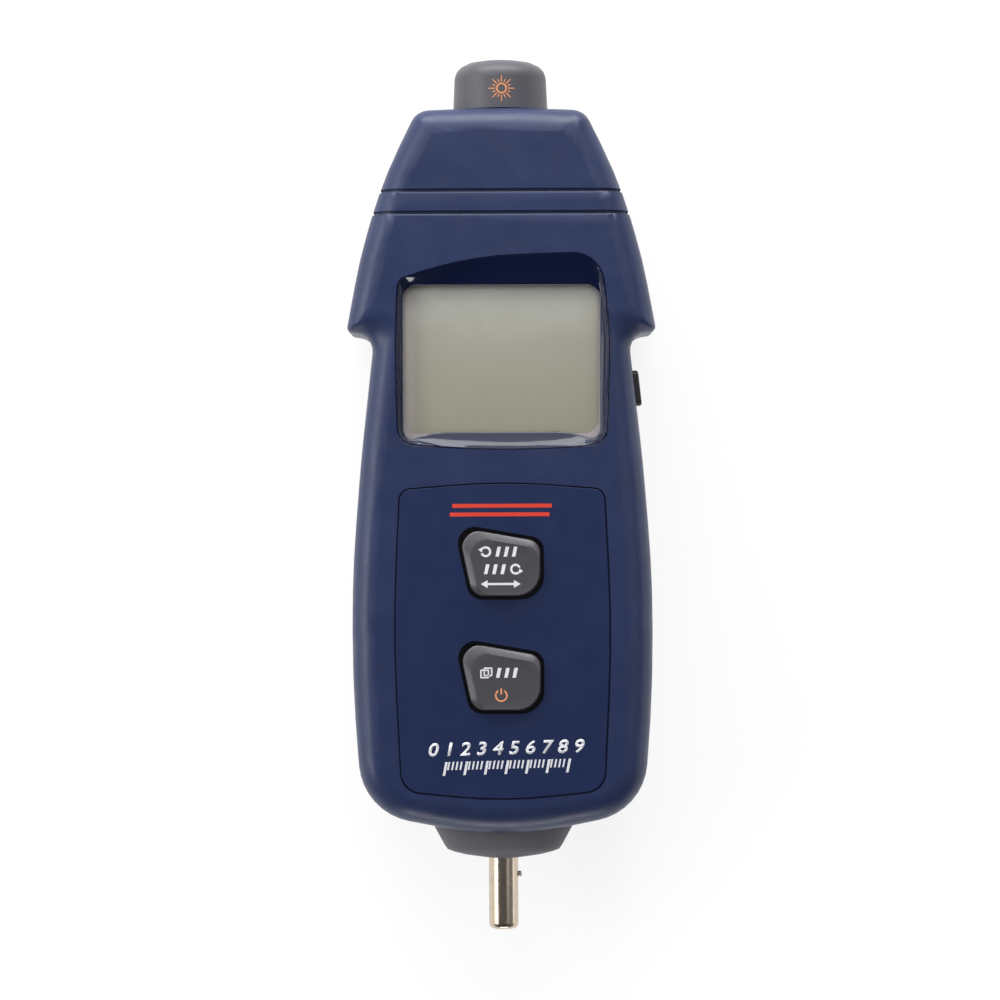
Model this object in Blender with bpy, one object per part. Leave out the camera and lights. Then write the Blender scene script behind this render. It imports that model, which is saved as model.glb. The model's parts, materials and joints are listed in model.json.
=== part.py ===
"""Photo and contact tachometer: a hand-held speed meter that reads a mark by laser light or a shaft by touch.

It lies on its back, as it would on a bench: X to the right, Y towards the sensor cap, Z up through the
display. The contact shaft points along -Y. All sizes are in metres; MM turns millimetres into metres.
"""

import math

import bmesh
import bpy
from mathutils import Vector

MM = 0.001

# Clearances
GAP = 0.3 * MM
SEAM = 0.12 * MM
SLIDE_GAP = 0.3 * MM
RUN_GAP = 0.09 * MM

# Case
CASE_DEPTH = 36.0 * MM
WALL = 2.2 * MM
EDGE_RADIUS = 6.0 * MM
PARTING = CASE_DEPTH / 2
AXIS_Z = CASE_DEPTH / 2
EDGE_STEPS = 5
LEAST_REACH = 0.25 * MM
FLATNESS = 0.05 * MM

# Right half of the case seen from the front, from the crown over the head down to the chin:
# x, y, how far from the corner its rounding starts
CASE_TOP = 94.5 * MM
CROWN = (0.0, CASE_TOP + 0.5 * MM, 16.0 * MM)
CASE_HALF = [
    (20.55 * MM, CASE_TOP - 0.6 * MM, 2.8 * MM),
    (29.1 * MM, 76.5 * MM, 10.0 * MM),
    (34.65 * MM, 57.5 * MM, 6.4 * MM),
    (37.95 * MM, 39.8 * MM, 1.35 * MM),
    (31.1 * MM, 38.8 * MM, 4.1 * MM),
    (34.45 * MM, 8.5 * MM, 5.0 * MM),
    (36.75 * MM, -19.8 * MM, 12.5 * MM),
    (36.7 * MM, -49.6 * MM, 15.0 * MM),
    (34.3 * MM, -77.6 * MM, 11.3 * MM),
]
CHIN = (0.0, -84.4 * MM, 16.0 * MM)

# Two grooves around the head
GROOVES = (74.05 * MM, 68.65 * MM)
GROOVE_WIDTH = 0.8 * MM
GROOVE_DEPTH = 0.8 * MM
GROOVE_LIP = 0.55 * MM

# Display window: the sloping recess outside and the display opening inside, corner for corner
WINDOW = [
    (-25.4 * MM, 52.5 * MM, 2.2 * MM),
    (-8.0 * MM, 58.05 * MM, 12.0 * MM),
    (24.2 * MM, 59.1 * MM, 7.0 * MM),
    (26.8 * MM, 40.0 * MM, 8.0 * MM),
    (25.9 * MM, 12.0 * MM, 4.3 * MM),
    (16.0 * MM, 11.2 * MM, 5.0 * MM),
    (1.0 * MM, 10.7 * MM, 8.0 * MM),
    (-14.0 * MM, 11.3 * MM, 5.0 * MM),
    (-25.4 * MM, 12.1 * MM, 4.0 * MM),
    (-26.2 * MM, 34.0 * MM, 12.0 * MM),
]
DISPLAY_X = 24.0 * MM
DISPLAY_TOP = 51.0 * MM
DISPLAY_BOTTOM = 15.2 * MM
DISPLAY_CORNER = 3.1 * MM
DISPLAY_SHELF = 16.8 * MM
DISPLAY_EAR = 2.4 * MM
BEZEL_RIM = 0.3 * MM
BEZEL_LIP = 0.25 * MM
BEZEL_ROUND = 0.45 * MM
BEZEL_TOP = CASE_DEPTH - 0.05 * MM
PANE_BORDER = 2.0 * MM
LCD_BORDER = 1.4 * MM
FRAME_BORDER = 3.2 * MM

# Barrel-shaped front panel, glued into a shallow pocket
PANEL = [
    (-25.1 * MM, 1.4 * MM, 2.5 * MM),
    (0.0, 3.4 * MM, 12.0 * MM),
    (25.1 * MM, 1.4 * MM, 2.5 * MM),
    (26.8 * MM, -33.0 * MM, 16.0 * MM),
    (24.9 * MM, -72.3 * MM, 4.5 * MM),
    (0.0, -74.9 * MM, 12.0 * MM),
    (-24.9 * MM, -72.3 * MM, 4.5 * MM),
    (-26.8 * MM, -33.0 * MM, 16.0 * MM),
]
PANEL_THICKNESS = 0.85 * MM
PANEL_LINE = 0.34 * MM

# Key openings, about each key's middle
KEY_HOLE = [
    (-11.6 * MM, 9.9 * MM, 6.1 * MM),
    (10.5 * MM, 6.0 * MM, 2.8 * MM),
    (10.5 * MM, -8.8 * MM, 5.6 * MM),
    (-7.6 * MM, -8.8 * MM, 3.0 * MM),
]
KEY_X = -0.4 * MM
MODE_KEY_Y = -16.75 * MM
MEMORY_KEY_Y = -44.5 * MM
KEY_GAP = 0.85 * MM
KEY_FLANGE = 0.7 * MM
KEY_FLANGE_THICKNESS = 1.1 * MM
KEY_PROUD = 1.5 * MM
KEY_BEVEL = 1.1 * MM
KEY_SHIFT = 0.8 * MM
KEY_STEM_RADIUS = 2.0 * MM
KEY_TRAVEL = 0.8 * MM

# Batteries, tray and door
CELL_RADIUS = 7.25 * MM
CELL_LENGTH = 50.5 * MM
CELL_NUB = 1.3 * MM
CELL_NUB_RADIUS = 2.7 * MM
DOOR_THICKNESS = 1.65 * MM
DOOR_RECESS = 0.25 * MM
DOOR_HALF_WIDTH = 24.4 * MM
DOOR_OVERLAP = 1.7 * MM
TONGUE = 0.8 * MM
TONGUE_THICKNESS = 0.6 * MM
TONGUE_LOW = DOOR_RECESS + 0.55 * MM
FLOOR_ABOVE = 1.4 * MM
FLOOR_TOP = DOOR_RECESS + DOOR_THICKNESS + SLIDE_GAP + FLOOR_ABOVE
CELL_PITCH = 2 * CELL_RADIUS + GAP
CELL_Z = DOOR_RECESS + DOOR_THICKNESS + 0.85 * MM + CELL_RADIUS
SPRING_LENGTH = 5.0 * MM
SPRING_RADIUS = 3.2 * MM
SPRING_WIRE = 0.45 * MM
CONTACT_THICKNESS = 0.4 * MM
CONTACT_HALF_HEIGHT = 5.0 * MM
TRAY_WALL = 1.2 * MM
TRAY_TOP = CELL_Z + CELL_RADIUS + 0.55 * MM + TRAY_WALL
GRIP_INSET = 18.9 * MM
GRIP_Y = CHIN[1] + GRIP_INSET
GRIP_PITCH = 2.2 * MM
GRIPS = 5

# Circuit board and what stands on it, shared out over the height left above the battery tray
DECK = CASE_DEPTH - TRAY_TOP
BOARD_BOTTOM = TRAY_TOP + 0.176 * DECK
BOARD_THICKNESS = 0.094 * DECK
PANE_THICKNESS = 0.059 * DECK
LCD_THICKNESS = 0.118 * DECK
BEZEL_DEPTH = 0.13 * DECK
BOARD_HALF_WIDTH = 27.0 * MM
BOARD_LOW = -52.0 * MM
BOARD_HIGH = 56.0 * MM
SWITCH_SIZE = 6.2 * MM
SWITCH_HEIGHT = 0.235 * DECK
PLUNGER_RADIUS = 1.6 * MM
PLUNGER_IN = 1.4 * MM
CHIP_Y = (MODE_KEY_Y + MEMORY_KEY_Y) / 2
CHIP_X = 14.0 * MM
CHIP_LENGTH = 10.0 * MM
CHIP_HEIGHT = 0.1 * DECK
CRYSTAL_X = -16.0 * MM
CRYSTAL_LENGTH = 11.0 * MM
CRYSTAL_WIDTH = 4.6 * MM

# Side button
BUTTON_Y = 25.95 * MM
BUTTON_Z = BOARD_BOTTOM + BOARD_THICKNESS + 0.124 * DECK
BUTTON_LENGTH = 8.6 * MM
BUTTON_HEIGHT = 0.4 * DECK
BUTTON_CORNER = 1.2 * MM
BUTTON_OUT = 33.95 * MM
BUTTON_FLANGE_OUT = 29.2 * MM
BUTTON_FLANGE_THICKNESS = 1.0 * MM
BUTTON_FLANGE = 1.1 * MM
BUTTON_TRAVEL = 1.0 * MM
BUTTON_SWITCH_OUT = 26.6 * MM
BUTTON_SWITCH_LENGTH = 6.0 * MM
BUTTON_PLUNGER_RADIUS = 1.2 * MM

# Sensor cap and optics
CAP_LENGTH = 13.0 * MM
CAP_END = CASE_TOP + CAP_LENGTH
CAP_CROWN = 4.9 * MM
CAP_RADIUS = 11.7 * MM
SPIGOT_RADIUS = 0.533 * AXIS_Z
SPIGOT_LENGTH = 5.8 * MM
SPIGOT_END = CASE_TOP - SPIGOT_LENGTH
NUT_RADIUS = 0.678 * AXIS_Z
NUT_THICKNESS = 2.0 * MM
CAP_BORE = SPIGOT_RADIUS - 1.4 * MM
CAP_BORE_END = CAP_END - 0.34 * CAP_LENGTH
LASER_X = -0.512 * CAP_BORE
LASER_RADIUS = 0.354 * CAP_BORE
LASER_HOLE = 0.207 * CAP_BORE
RECEIVER_X = 0.488 * CAP_BORE
RECEIVER_HOLE = 0.378 * CAP_BORE
DIODE_RADIUS = 0.305 * CAP_BORE
HOLDER_LENGTH = 13.3 * MM
HOLDER_LOW = SPIGOT_END - GAP - HOLDER_LENGTH
HOLDER_WALL = 2.3 * MM
SENSOR_BOARD_X = 11.0 * MM
SENSOR_BOARD_Z = 0.444 * AXIS_Z

# Nose, shaft and the parts on it
NOSE_SUNK = 6.3 * MM
NOSE_FLANGE_Y = CHIN[1] + NOSE_SUNK
NOSE_FLANGE_THICKNESS = 1.2 * MM
NOSE_X = 17.4 * MM
NOSE_Z = 0.628 * AXIS_Z
NOSE_FLANGE = 1.6 * MM
NOSE_LENGTH = 11.55 * MM
NOSE_END = NOSE_FLANGE_Y - NOSE_LENGTH
NOSE_TAPER = 8.0 * MM
NOSE_BORE = 6.0 * MM
NOSE_LIP = 1.6 * MM
NOSE_BORE_END = NOSE_END + NOSE_LIP
BUSH_LENGTH = 6.0 * MM
SHAFT_RADIUS = 3.65 * MM
SHAFT_LENGTH = 17.85 * MM
SHAFT_TIP = NOSE_END - SHAFT_LENGTH
PIN_RADIUS = 0.75 * MM
PIN_FROM_NOSE = 4.45 * MM
PIN_LENGTH = 4.1 * MM
PIN_Y = NOSE_END - PIN_FROM_NOSE
PIN_PROUD = 0.9 * MM
DISC_RADIUS = 0.583 * AXIS_Z
DISC_THICKNESS = 1.2 * MM
DISC_FROM_NOSE = 6.1 * MM
DISC_Y = NOSE_FLANGE_Y + DISC_FROM_NOSE
DISC_SLOTS = 12
SLOT_RADIUS = 1.0 * MM
BARRIER_X = 3.2 * MM
BARRIER_LEG = 2.3 * MM
BEARING_FROM_DISC = 8.8 * MM
BEARING_Y = DISC_Y + BEARING_FROM_DISC
BEARING_THICKNESS = 2.6 * MM
BEARING_X = 15.0 * MM
SHAFT_BACK = BEARING_Y + BEARING_THICKNESS / 2 + 1.0 * MM

# The battery bay starts behind the shaft and is as long as what it holds
BAY_FROM_SHAFT = 4.0 * MM
BAY_LOW = SHAFT_BACK + BAY_FROM_SHAFT
BAY_HIGH = BAY_LOW + CELL_LENGTH + SPRING_LENGTH + 2 * CONTACT_THICKNESS + 5 * GAP
BAY_HALF_WIDTH = CELL_PITCH + CELL_RADIUS + GAP
DOOR_HIGH = BAY_HIGH + DOOR_OVERLAP

# Case screws: x and y of the right-hand ones
SCREWS = ((28.4 * MM, 60.0 * MM), (29.2 * MM, -66.0 * MM))
BOSS_RADIUS = 3.0 * MM
SCREW_HEAD_RADIUS = 2.2 * MM
SCREW_HEAD = 1.6 * MM
SCREW_RADIUS = 1.2 * MM
SCREW_SINK = 3.5 * MM
SCREW_HEADROOM = 8.0 * MM
SCREW_END = CASE_DEPTH - SCREW_HEADROOM
CROSS_ARM = 1.3 * MM
CROSS_WIDTH = 0.56 * MM


def clear_scene():
    for thing in list(bpy.data.objects):
        bpy.data.objects.remove(thing)


def linear(value):
    value = value / 255
    return value / 12.92 if value <= 0.04045 else ((value + 0.055) / 1.055) ** 2.4


def paint(thing, colour, roughness, metallic=0.0):
    material = bpy.data.materials.new(thing.name + "_material")
    material.use_nodes = True
    shader = material.node_tree.nodes["Principled BSDF"]
    shader.inputs["Base Color"].default_value = (*(linear(c) for c in colour), 1.0)
    shader.inputs["Roughness"].default_value = roughness
    shader.inputs["Metallic"].default_value = metallic
    thing.data.materials.append(material)
    return thing


# Outlines


def mirrored(first, half, last):
    """A whole outline, clockwise, from its right half and its two corners on the middle line."""
    return [first] + half + [last] + [(-x, y, reach) for x, y, reach in reversed(half)]


def directions(corners, i):
    here = Vector(corners[i][:2])
    before = (here - Vector(corners[i - 1][:2])).normalized()
    after = (Vector(corners[(i + 1) % len(corners)][:2]) - here).normalized()
    return here, before, after


def arc_steps(corners):
    """How many flats each rounding needs to stay within FLATNESS of its circle."""
    steps = []
    for i, corner in enumerate(corners):
        _, before, after = directions(corners, i)
        bend = abs(before.y * after.x - before.x * after.y) / (1 + before.dot(after))
        if bend < 1e-6:
            steps.append(2)
            continue
        radius = corner[2] / bend
        flat = 2 * math.acos(max(1 - FLATNESS / radius, 0.0))
        steps.append(max(math.ceil(2 * math.atan(bend) / flat), 2))
    return steps


def drawn_in(corners, inset, keep):
    """Clockwise corners moved in by the inset. Outer roundings get smaller by it and inner ones larger,
    unless keep is set."""
    moved = []
    least = max(LEAST_REACH, inset / 2)
    for i, (_, _, reach) in enumerate(corners):
        here, before, after = directions(corners, i)
        dot = before.dot(after)
        side = Vector((before.y + after.y, -before.x - after.x)) / (1 + dot)
        bend = 0.0 if keep else (before.y * after.x - before.x * after.y) / (1 + dot)
        place = here + side * inset
        moved.append([place.x, place.y, max(reach - inset * bend, least)])
    for i, corner in enumerate(moved):
        other = moved[i - 1]
        room = 0.96 * (Vector(corner[:2]) - Vector(other[:2])).length
        if corner[2] + other[2] > room:
            longer, shorter = (corner, other) if corner[2] > other[2] else (other, corner)
            longer[2] = max(room - shorter[2], room / 2)
            shorter[2] = min(shorter[2], room / 2)
    return moved


def outline(corners, inset=0.0, like=None, keep=False):
    """Points of a closed outline with its corners rounded. like names corners whose step counts it takes."""
    counts = arc_steps(like or corners)
    corners = drawn_in(corners, inset, keep)
    points = []
    for i, ((_, _, reach), steps) in enumerate(zip(corners, counts)):
        here, before, after = directions(corners, i)
        weight = math.sqrt((1 + before.dot(after)) / 2)
        start, end = here - before * reach, here + after * reach
        for step in range(steps + 1):
            t = step / steps
            a, b, c = (1 - t) ** 2, 2 * t * (1 - t) * weight, t * t
            points.append((start * a + here * b + end * c) / (a + b + c))
    return [(p.x, p.y) for p in points]


def rectangle(half_x, half_y, corner, x=0.0, y=0.0):
    return [
        (x - half_x, y + half_y, corner),
        (x + half_x, y + half_y, corner),
        (x + half_x, y - half_y, corner),
        (x - half_x, y - half_y, corner),
    ]


def shifted(corners, x, y):
    return [(cx + x, cy + y, reach) for cx, cy, reach in corners]


# Meshes


def solid(name, rings, closed=False, origin=(0, 0, 0)):
    """A body through rings of points. A ring of one point closes the end; closed joins last to first."""
    mesh = bpy.data.meshes.new(name)
    shape = bmesh.new()
    origin = Vector(origin)
    loops = [[shape.verts.new(Vector(p) - origin) for p in ring] for ring in rings]
    pairs = list(zip(loops, loops[1:]))
    if closed:
        pairs.append((loops[-1], loops[0]))
    for low, high in pairs:
        count = max(len(low), len(high))
        for i in range(count):
            j = (i + 1) % count
            if len(low) == 1:
                shape.faces.new((low[0], high[j], high[i]))
            elif len(high) == 1:
                shape.faces.new((low[i], low[j], high[0]))
            else:
                shape.faces.new((low[i], low[j], high[j], high[i]))
    if not closed:
        for loop in (loops[0], loops[-1]):
            if len(loop) > 1:
                shape.faces.new(loop)
    bmesh.ops.recalc_face_normals(shape, faces=shape.faces)
    shape.to_mesh(mesh)
    shape.free()
    mesh.shade_smooth()
    mesh.set_sharp_from_angle(angle=math.radians(32))
    thing = bpy.data.objects.new(name, mesh)
    thing.location = origin
    bpy.context.scene.collection.objects.link(thing)
    return thing


def stack(corners, levels):
    """Rings of an outline at each level's height and inset."""
    return [[(x, y, z) for x, y in outline(corners, inset)] for z, inset in levels]


def prism(name, corners, low, high, bevel=0.0):
    levels = [(low, 0.0), (high, 0.0)]
    if bevel:
        levels = [(low, bevel), (low + bevel, 0.0), (high - bevel, 0.0), (high, bevel)]
    return solid(name, stack(corners, levels))


def box(name, x, y, z):
    """A box between the two values of x, of y and of z."""
    rings = [[(x[0], y[0], h), (x[1], y[0], h), (x[1], y[1], h), (x[0], y[1], h)] for h in z]
    return solid(name, rings)


def on_x(rings, origin):
    """Rings drawn flat, turned so that their heights run along X, x being the height itself."""
    return [[(h, origin[0] + a, origin[1] + b) for a, b, h in ring] for ring in rings]


def turned(name, profile, axis, centre, steps=32, closed=False, origin=(0, 0, 0)):
    """A body of revolution. The profile has (radius, place along the axis); centre is where the axis runs."""
    rings = []
    for radius, place in profile:
        ring = []
        for i in range(steps if radius else 1):
            angle = 2 * math.pi * i / steps
            a, b = centre[0] + radius * math.cos(angle), centre[1] + radius * math.sin(angle)
            ring.append({"X": (place, a, b), "Y": (a, place, b), "Z": (a, b, place)}[axis])
        rings.append(ring)
    return solid(name, rings, closed, origin)


def rod(name, radius, low, high, axis, centre, steps=24, origin=(0, 0, 0)):
    return turned(name, [(radius, low), (radius, high)], axis, centre, steps, origin=origin)


def tube(name, inner, outer, low, high, axis, centre, steps=32, origin=(0, 0, 0)):
    profile = [(inner, low), (outer, low), (outer, high), (inner, high)]
    return turned(name, profile, axis, centre, steps, True, origin)


def combine(thing, other, operation):
    modifier = thing.modifiers.new(other.name, "BOOLEAN")
    modifier.operation = operation
    modifier.solver = "EXACT"
    modifier.object = other
    other.hide_render = True
    other.display_type = "WIRE"


def cut(thing, *cutters):
    for cutter in cutters:
        combine(thing, cutter, "DIFFERENCE")


def add(thing, *others):
    for other in others:
        combine(thing, other, "UNION")


# Case


def edge_levels(radius, face, up, inset, steps):
    """Levels from a straight wall round a quarter circle to a flat face. up is 1 for the front, -1 for the rear."""
    levels = []
    for step in range(steps + 1):
        angle = math.pi / 2 * step / steps
        levels.append((face - up * radius * (1 - math.sin(angle)), inset + radius * (1 - math.cos(angle))))
    return levels


def case_outline():
    return mirrored(CROWN, CASE_HALF, CHIN)


def case_body(name, up, low, inset, steps):
    """Half of the case's body, drawn in on all sides, from the height low to the front or rear face."""
    face = CASE_DEPTH - inset if up > 0 else inset
    levels = [(low, inset)] + edge_levels(EDGE_RADIUS - inset, face, up, inset, steps)
    return solid(name, stack(case_outline(), levels))


def groove_cutter(name, y, up):
    """A slab across the head, its lower side leaning outwards, less the body inside the groove's floor."""
    past = 2 * GROOVE_DEPTH
    wide = max(x for x, _, _ in CASE_HALF) + past
    low, high = y - GROOVE_WIDTH / 2, y + GROOVE_WIDTH / 2
    dip = 0.65 * GROOVE_LIP
    lip = low - GROOVE_LIP * (1 + past / dip)
    foot, face = PARTING - up * past, CASE_DEPTH if up > 0 else 0.0
    side = [(high, foot), (low, foot), (low, face - up * dip), (lip, face + up * past)]
    side.append((high, face + up * past))
    slab = solid(name, [[(x, *place) for place in side] for x in (-wide, wide)])
    cut(slab, case_body(name + "_core", up, PARTING - up * 2 * past, GROOVE_DEPTH, EDGE_STEPS))
    return slab


def screw_places():
    return [(side * x, y) for x, y in SCREWS for side in (-1, 1)]


def shell(name, up):
    """A half shell with its cavity, grooves, the round cap opening and the oval nose opening."""
    case = case_body(name, up, PARTING + up * GAP / 2, 0.0, EDGE_STEPS)
    cavity = case_body(name + "_cavity", up, PARTING - up * WALL, WALL, 3)
    cut(case, cavity)
    return case


def end_openings(name):
    cap = rod(name + "_cap_hole", SPIGOT_RADIUS + GAP, CASE_TOP - 2 * WALL, CASE_TOP + WALL, "Y", (0, AXIS_Z), 40)
    rings = [oval(NOSE_X + GAP, NOSE_Z + GAP, y) for y in (NOSE_FLANGE_Y + GAP, NOSE_END)]
    return cap, solid(name + "_nose_hole", rings)


def front_case():
    case = shell("front_case", 1)
    inside = CASE_DEPTH - WALL
    for i, (x, y) in enumerate(screw_places()):
        add(case, rod(f"front_boss_{i}", BOSS_RADIUS, PARTING + GAP / 2, inside + WALL / 3, "Z", (x, y), 16))
    for i, (x, y) in enumerate(screw_places()):
        pilot = rod(f"front_pilot_{i}", SCREW_RADIUS + GAP / 2, PARTING - WALL, SCREW_END + GAP, "Z", (x, y), 12)
        cut(case, pilot)
    cut(case, *(groove_cutter(f"front_groove_{i}", y, 1) for i, y in enumerate(GROOVES)))
    cut(case, *end_openings("front"))
    past = CASE_DEPTH + WALL
    cut(case, prism("window_hole", WINDOW, inside - WALL, past))
    pocket = CASE_DEPTH - PANEL_THICKNESS - GAP
    cut(case, prism("panel_pocket", PANEL, pocket, past))
    for key, y in (("mode", MODE_KEY_Y), ("memory", MEMORY_KEY_Y)):
        cut(case, prism(key + "_hole", shifted(KEY_HOLE, KEY_X, y), inside - WALL, past))
    hole = rectangle(BUTTON_LENGTH / 2 + GAP, BUTTON_HEIGHT / 2 + GAP, BUTTON_CORNER + GAP)
    levels = [(BUTTON_FLANGE_OUT - WALL, 0.0), (BUTTON_OUT + WALL, 0.0)]
    cut(case, solid("button_hole", on_x(stack(hole, levels), (BUTTON_Y, BUTTON_Z))))
    return paint(case, (52, 62, 96), 0.5)


def rear_case():
    case = shell("rear_case", -1)
    for i, (x, y) in enumerate(screw_places()):
        add(case, rod(f"rear_boss_{i}", BOSS_RADIUS, WALL / 2, PARTING - GAP / 2, "Z", (x, y), 16))
    # Raised floor over the door's slot, joined to the bottom wall below the nose
    wide = DOOR_HALF_WIDTH + TONGUE + 2 * GAP + WALL
    floor = box("raised_floor", (-wide, wide), (CHIN[1], DOOR_HIGH + WALL), (WALL / 2, FLOOR_TOP))
    combine(floor, case_body("floor_limit", -1, PARTING, WALL / 2, 3), "INTERSECT")
    add(case, floor)
    for i, (x, y) in enumerate(screw_places()):
        cut(case, rod(f"screw_hole_{i}", SCREW_RADIUS + GAP, 0.0, PARTING + WALL, "Z", (x, y), 12))
        cut(case, rod(f"screw_sink_{i}", SCREW_HEAD_RADIUS + GAP, -WALL, SCREW_SINK, "Z", (x, y), 16))
    cut(case, *(groove_cutter(f"rear_groove_{i}", y, -1) for i, y in enumerate(GROOVES)))
    cut(case, *end_openings("rear"))
    past = CHIN[1] - WALL
    slot_x, slot_high = DOOR_HALF_WIDTH + SLIDE_GAP, DOOR_HIGH + SLIDE_GAP
    ceiling = DOOR_RECESS + DOOR_THICKNESS + SLIDE_GAP
    cut(case, box("door_slot", (-slot_x, slot_x), (past, slot_high), (-WALL, ceiling)))
    tongue_x = slot_x + TONGUE
    groove_z = (TONGUE_LOW - SLIDE_GAP, TONGUE_LOW + TONGUE_THICKNESS + SLIDE_GAP)
    cut(case, box("tongue_groove", (-tongue_x, tongue_x), (past, slot_high), groove_z))
    cut(case, box("bay_hole", (-BAY_HALF_WIDTH, BAY_HALF_WIDTH), (BAY_LOW, BAY_HIGH), (0.0, FLOOR_TOP + WALL)))
    return paint(case, (50, 60, 94), 0.5)


def battery_door():
    """The door is the case's own skin between the slot's sides, with a tongue along each side."""
    past = CHIN[1] - WALL
    z = (DOOR_RECESS, DOOR_RECESS + DOOR_THICKNESS)
    door = box("battery_door", (-DOOR_HALF_WIDTH, DOOR_HALF_WIDTH), (past, DOOR_HIGH), z)
    tongue_x = DOOR_HALF_WIDTH + TONGUE
    add(door, box("door_tongues", (-tongue_x, tongue_x), (past, DOOR_HIGH), (TONGUE_LOW, TONGUE_LOW + TONGUE_THICKNESS)))
    combine(door, case_body("door_limit", -1, PARTING, 0.0, EDGE_STEPS), "INTERSECT")
    half = 0.37 * DOOR_HALF_WIDTH
    for i in range(GRIPS):
        y = GRIP_Y + i * GRIP_PITCH
        cut(door, box(f"grip_{i}", (-half, half), (y, y + GRIP_PITCH / 2), (-WALL, DOOR_RECESS + DOOR_THICKNESS / 3)))
    return paint(door, (50, 60, 94), 0.5)


# Display


def display_corners(border=0.0):
    """The display opening, with as many corners as the window so that the two can be joined by slopes."""
    x, top, bottom = DISPLAY_X + border, DISPLAY_TOP + border, DISPLAY_BOTTOM - border
    right, left = WINDOW[3][1], WINDOW[9][1]
    ear, shelf = bottom - DISPLAY_EAR, DISPLAY_SHELF + border
    corner, along, down = DISPLAY_CORNER, 0.4 * x, 0.4 * (top - right)
    places = [(-x, top), (WINDOW[1][0], top), (x, top), (x, right), (x, ear)]
    places += [(shelf, bottom), (0.0, bottom), (-shelf, bottom), (-x, ear), (-x, left)]
    reaches = [corner, along, corner, down, corner, corner, along / 2, corner, corner, down]
    return [(*place, reach) for place, reach in zip(places, reaches)]


def window_bezel():
    """A glossy tray: its walls hollow out from the rim down to the display opening."""
    wall = outline(WINDOW, SEAM)
    rim = outline(WINDOW, SEAM + BEZEL_RIM)
    opening = outline(display_corners(), like=WINDOW)
    edge = outline(display_corners(), -BEZEL_ROUND, like=WINDOW)
    bottom = BEZEL_TOP - BEZEL_DEPTH
    foot = bottom + BEZEL_LIP
    rings = [[(x, y, bottom) for x, y in wall], [(x, y, BEZEL_TOP) for x, y in wall]]
    slopes = 4
    fall = BEZEL_TOP - foot - BEZEL_ROUND / 2
    for i in range(slopes + 1):
        t = i / slopes
        z = BEZEL_TOP - fall * (1 - (1 - t) ** 1.3)
        rings.append([(a + (c - a) * t, b + (d - b) * t, z) for (a, b), (c, d) in zip(rim, edge)])
    for out, up in ((0.62, 0.38), (0.3, 0.2), (0.08, 0.0), (0.0, -0.2)):
        ring = outline(display_corners(), -out * BEZEL_ROUND, like=WINDOW)
        rings.append([(x, y, foot + up * BEZEL_ROUND) for x, y in ring])
    rings.append([(x, y, bottom) for x, y in opening])
    return paint(solid("window_bezel", rings, closed=True), (22, 30, 62), 0.08)


def display_parts():
    top = BEZEL_TOP - BEZEL_DEPTH - GAP
    middle = (DISPLAY_TOP + DISPLAY_BOTTOM - DISPLAY_EAR) / 2
    half_y = DISPLAY_TOP - middle
    corner = DISPLAY_CORNER / 2
    pane = rectangle(DISPLAY_X + PANE_BORDER, half_y + PANE_BORDER, corner, y=middle)
    paint(prism("window_pane", pane, top - PANE_THICKNESS, top), (200, 205, 205), 0.05)
    top -= PANE_THICKNESS + GAP
    glass = rectangle(DISPLAY_X + LCD_BORDER, half_y + LCD_BORDER, corner, y=middle)
    paint(prism("lcd_glass", glass, top - LCD_THICKNESS, top), (160, 158, 147), 0.35)
    board_top = BOARD_BOTTOM + BOARD_THICKNESS
    body = rectangle(DISPLAY_X + FRAME_BORDER, half_y + FRAME_BORDER, corner, y=middle)
    frame = prism("lcd_frame", body, board_top + GAP, top - GAP)
    pocket = rectangle(DISPLAY_X + LCD_BORDER + GAP, half_y + LCD_BORDER + GAP, corner, y=middle)
    cut(frame, prism("lcd_pocket", pocket, top - LCD_THICKNESS - GAP, top + WALL))
    x, y, z = side_switch_room(GAP)
    cut(frame, box("switch_notch", (x[0], x[1] + 2 * WALL), y, z))
    paint(frame, (225, 225, 220), 0.5)


def panel_overlay():
    top = CASE_DEPTH - 0.05 * MM
    levels = [(top - PANEL_THICKNESS, PANEL_LINE), (top - 0.15 * MM, PANEL_LINE), (top, PANEL_LINE + 0.15 * MM)]
    overlay = solid("panel_overlay", stack(PANEL, levels))
    for key, y in (("mode", MODE_KEY_Y), ("memory", MEMORY_KEY_Y)):
        hole = shifted(KEY_HOLE, KEY_X, y)
        cut(overlay, prism(key + "_overlay_hole", hole, top - 2 * PANEL_THICKNESS, top + WALL))
    return paint(overlay, (36, 47, 80), 0.45)


# Keys and switches


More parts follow.
